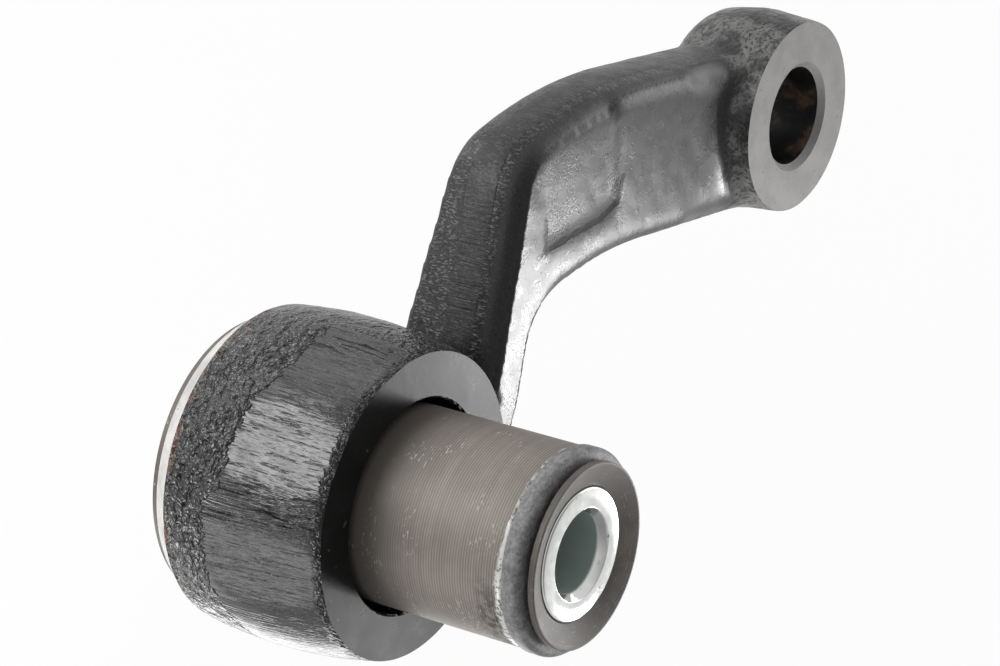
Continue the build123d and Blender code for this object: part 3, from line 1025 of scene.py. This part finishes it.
class DRESS_OT_liners(bpy.types.Operator):
    """Turns the two flanged liners that the sleeve runs in"""
    bl_idname = "dress.liners"
    bl_label = "Liners"

    def execute(self, context):
        settings = context.scene.bush_settings
        inside = SLEEVE_HIGH.x + settings.running_gap
        neck = tube_bore(context.scene)
        finish = moulded_plastic(settings)
        land = 0.4 * MM
        rim, low, top = LINER_HIGH.x, LINER_LOW.z, LINER_HIGH.z
        under = top - settings.rim_thick
        corners = (
            (inside, low, 0.15 * MM), (neck, low, 0.2 * MM), (neck, under, 0.0),
            (rim, under, 0.2 * MM), (rim, top, 0.3 * MM), (rim - land, top, 0.2 * MM),
            (inside, top - settings.rim_dish, 0.2 * MM))
        front = turned_piece("dished_liner", corners, finish, settings.segments)
        rim, low, top = REAR_LINER_HIGH.x, REAR_LINER_LOW.z, REAR_LINER_HIGH.z
        over = low + settings.rear_rim_thick
        corners = (
            (inside, low, 0.2 * MM), (rim, low, 0.3 * MM), (rim, over, 0.2 * MM), (neck, over, 0.0),
            (neck, top, 0.2 * MM), (inside, top, 0.15 * MM))
        rear = turned_piece("flanged_liner", corners, finish, settings.segments)
        for piece, replaced in ((front, "front_liner"), (rear, "rear_liner")):
            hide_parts(replaced)
            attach(piece, "arm")
        return {"FINISHED"}


class DRESS_OT_seal_rings(bpy.types.Operator):
    """Makes the rubber rings at both ends of the tube"""
    bl_idname = "dress.seal_rings"
    bl_label = "Seal rings"

    def execute(self, context):
        settings = context.scene.bush_settings
        inside, inner_edge = tube_bore(context.scene) + settings.neck_gap, 0.1 * MM
        finish = seal_rubber(settings)
        rings = (
            ("front_rubber", RING_LOW, RING_HIGH, 0.2 * MM, 0.85 * MM, "front_seal_ring"),
            ("rear_rubber", REAR_RING_LOW, REAR_RING_HIGH, 0.3 * MM, 0.2 * MM, "rear_seal_ring"))
        for name, low, high, back, front, replaced in rings:
            corners = ((inside, low.z, inner_edge), (high.x, low.z, back), (high.x, high.z, front),
                       (inside, high.z, inner_edge))
            ring = turned_piece(name, corners, finish, settings.segments)
            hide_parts(replaced)
            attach(ring, "arm")
        return {"FINISHED"}


class DRESS_OT_stage(bpy.types.Operator):
    """Sets the camera, the lamps, the floor and the room light"""
    bl_idname = "dress.stage"
    bl_label = "Stage"

    def execute(self, context):
        settings = context.scene.stage_settings
        aim = Vector(settings.aim)
        back = (Vector(settings.place) - aim).normalized()
        right = Vector(settings.upright).cross(back).normalized()
        up = back.cross(right)
        self.turn = Matrix((right, up, back)).transposed()
        self.aim = aim
        data = bpy.data.cameras.new("photo_camera")
        data.lens = settings.lens
        data.sensor_width = SENSOR
        camera = new_object("photo_camera", data)
        camera.matrix_world = Matrix.Translation(settings.place) @ self.turn.to_4x4()
        context.scene.camera = camera
        for lamp in LAMPS:
            self.softbox(*lamp)
        self.floor(settings)
        self.room(context.scene, settings)
        context.scene.view_settings.view_transform = "Standard"
        return {"FINISHED"}

    def softbox(self, name, heading, tilt, distance, width, height, brightness):
        """One soft lamp, placed where the faces that turn a given way mirror it."""
        data = bpy.data.lights.new(name, "AREA")
        data.shape = "RECTANGLE"
        data.size, data.size_y = width, height
        data.energy = brightness * pi * width * height
        lamp = new_object(name, data)
        lamp.visible_camera = False
        level = cos(radians(tilt))
        facing = Vector((level * cos(radians(heading)), level * sin(radians(heading)),
                         sin(radians(tilt))))
        way = -self.turn.col[2].reflect(facing)
        lamp.location = self.aim + way * distance
        lamp.rotation_euler = way.to_track_quat("Z", "Y").to_euler()

    def floor(self, settings):
        """A plain pale floor."""
        half = settings.floor_size / 2
        level = CAD_BOX[0][2] - settings.floor_drop
        mesh = bpy.data.meshes.new("floor")
        corners = ((-half, -half), (half, -half), (half, half), (-half, half))
        mesh.from_pydata([(*corner, level) for corner in corners], [], [(0, 1, 2, 3)])
        material = bpy.data.materials.new("floor_paper")
        material.use_nodes = True
        tree = material.node_tree
        shader = tree.nodes["Principled BSDF"]
        shader.inputs["Base Color"].default_value = (*settings.floor_colour, 1)
        shader.inputs["Roughness"].default_value = FLOOR_ROUGHNESS
        self.whiten(tree, shader.outputs[0], tree.nodes["Material Output"].inputs[0], FLOOR_WHITE)
        mesh.materials.append(material)
        new_object("floor", mesh)

    def room(self, scene, settings):
        """Even light from all round, with pale walls and a darker ceiling."""
        scene.world = bpy.data.worlds.new("room")
        scene.world.use_nodes = True
        tree = scene.world.node_tree
        sky = tree.nodes["Background"]
        sky.inputs["Color"].default_value = (1, 1, 1, 1)
        sky.inputs["Strength"].default_value = settings.sky
        way = Value(tree, tree.nodes.new("ShaderNodeTexCoord").outputs["Generated"])
        walls = way.split()[2].ramp(*CEILING, 1.0, settings.overhead)
        self.whiten(tree, sky.outputs[0], tree.nodes["World Output"].inputs[0], 1.0,
                    "ShaderNodeBackground", walls)

    @staticmethod
    def whiten(tree, shader, target, share, kind="ShaderNodeEmission", strength=1.0):
        """Shows white to the camera and in mirrored views, in place of a share of a shader."""
        rays = tree.nodes.new("ShaderNodeLightPath").outputs
        seen = Value(tree, rays["Is Camera Ray"]) | rays["Is Glossy Ray"]
        seen = seen | rays["Is Transmission Ray"]
        white = node(tree, kind, {"Color": (1, 1, 1, 1), "Strength": strength})
        mixed = node(tree, "ShaderNodeMixShader", {0: seen * share, 1: shader, 2: white.outputs[0]})
        tree.links.new(mixed.outputs[0], target)


SENSOR = 36                 # width of the camera's sensor in millimetres
FLOOR_ROUGHNESS = 0.9
FLOOR_WHITE = 0.93          # share of plain white in the floor, and the rest takes the shadow
CEILING = (0.55, 0.9)       # upward share of a direction where the walls end and the ceiling begins

# Each lamp: heading and tilt of the faces that mirror it, distance, width, height and brightness
LAMPS = (
    ("front_lamp", -52.0, 87.9, 0.26, 0.050, 0.026, 43.0),
    ("face_lamp", -137.6, 74.4, 0.275, 0.036, 0.030, 26.0),
    ("flat_lamp_one", 95.0, 2.0, 0.26, 0.10, 0.10, 1.3),
    ("flat_lamp_between", 115.0, 1.0, 0.27, 0.07, 0.10, 5.0),
    ("flat_lamp_two", 134.0, 4.0, 0.285, 0.10, 0.10, 10.0),
    ("flat_lamp_three", 173.0, 3.5, 0.31, 0.08, 0.12, 3.2),
    ("side_lamp", 206.0, 0.0, 0.30, 0.10, 0.14, 3.0),
    ("low_lamp_one", 109.0, -15.0, 0.165, 0.035, 0.04, 8.0),
    ("low_lamp_two", 137.0, -8.5, 0.185, 0.04, 0.035, 13.0),
    ("low_lamp_three", 175.5, -7.0, 0.20, 0.05, 0.05, 10.0),
    ("top_softbox", 60.0, 60.0, 0.80, 0.5, 0.5, 2.0),
)

OPERATORS = (DRESS_OT_stage, DRESS_OT_forged_arm, DRESS_OT_bush_tube, DRESS_OT_inner_sleeve,
             DRESS_OT_liners, DRESS_OT_seal_rings)
GROUPS = (("forging_settings", ForgingSettings), ("bush_settings", BushSettings),
          ("stage_settings", StageSettings))


class DRESS_PT_idler_arm(bpy.types.Panel):
    """Lists the pieces of the idler arm"""
    bl_idname = "DRESS_PT_idler_arm"
    bl_label = "Idler Arm"
    bl_space_type = "VIEW_3D"
    bl_region_type = "UI"
    bl_category = "Idler Arm"

    def draw(self, context):
        for operator in OPERATORS:
            self.layout.operator(operator.bl_idname)
        for name, group in GROUPS:
            box = self.layout.box()
            for field in group.__annotations__:
                box.prop(getattr(context.scene, name), field)


def register():
    """Registers the settings, the operators and the panel."""
    for name, group in GROUPS:
        bpy.utils.register_class(group)
        setattr(bpy.types.Scene, name, bpy.props.PointerProperty(type=group))
    for kind in (*OPERATORS, DRESS_PT_idler_arm):
        bpy.utils.register_class(kind)


def unregister():
    """Takes them out again."""
    for kind in (DRESS_PT_idler_arm, *reversed(OPERATORS)):
        bpy.utils.unregister_class(kind)
    for name, group in reversed(GROUPS):
        delattr(bpy.types.Scene, name)
        bpy.utils.unregister_class(group)


def main():
    """Makes every piece."""
    register()
    bpy.ops.dress.stage()
    bpy.ops.dress.forged_arm()
    bpy.ops.dress.bush_tube()
    bpy.ops.dress.inner_sleeve()
    bpy.ops.dress.liners()
    bpy.ops.dress.seal_rings()


if __name__ == "__main__":
    main()
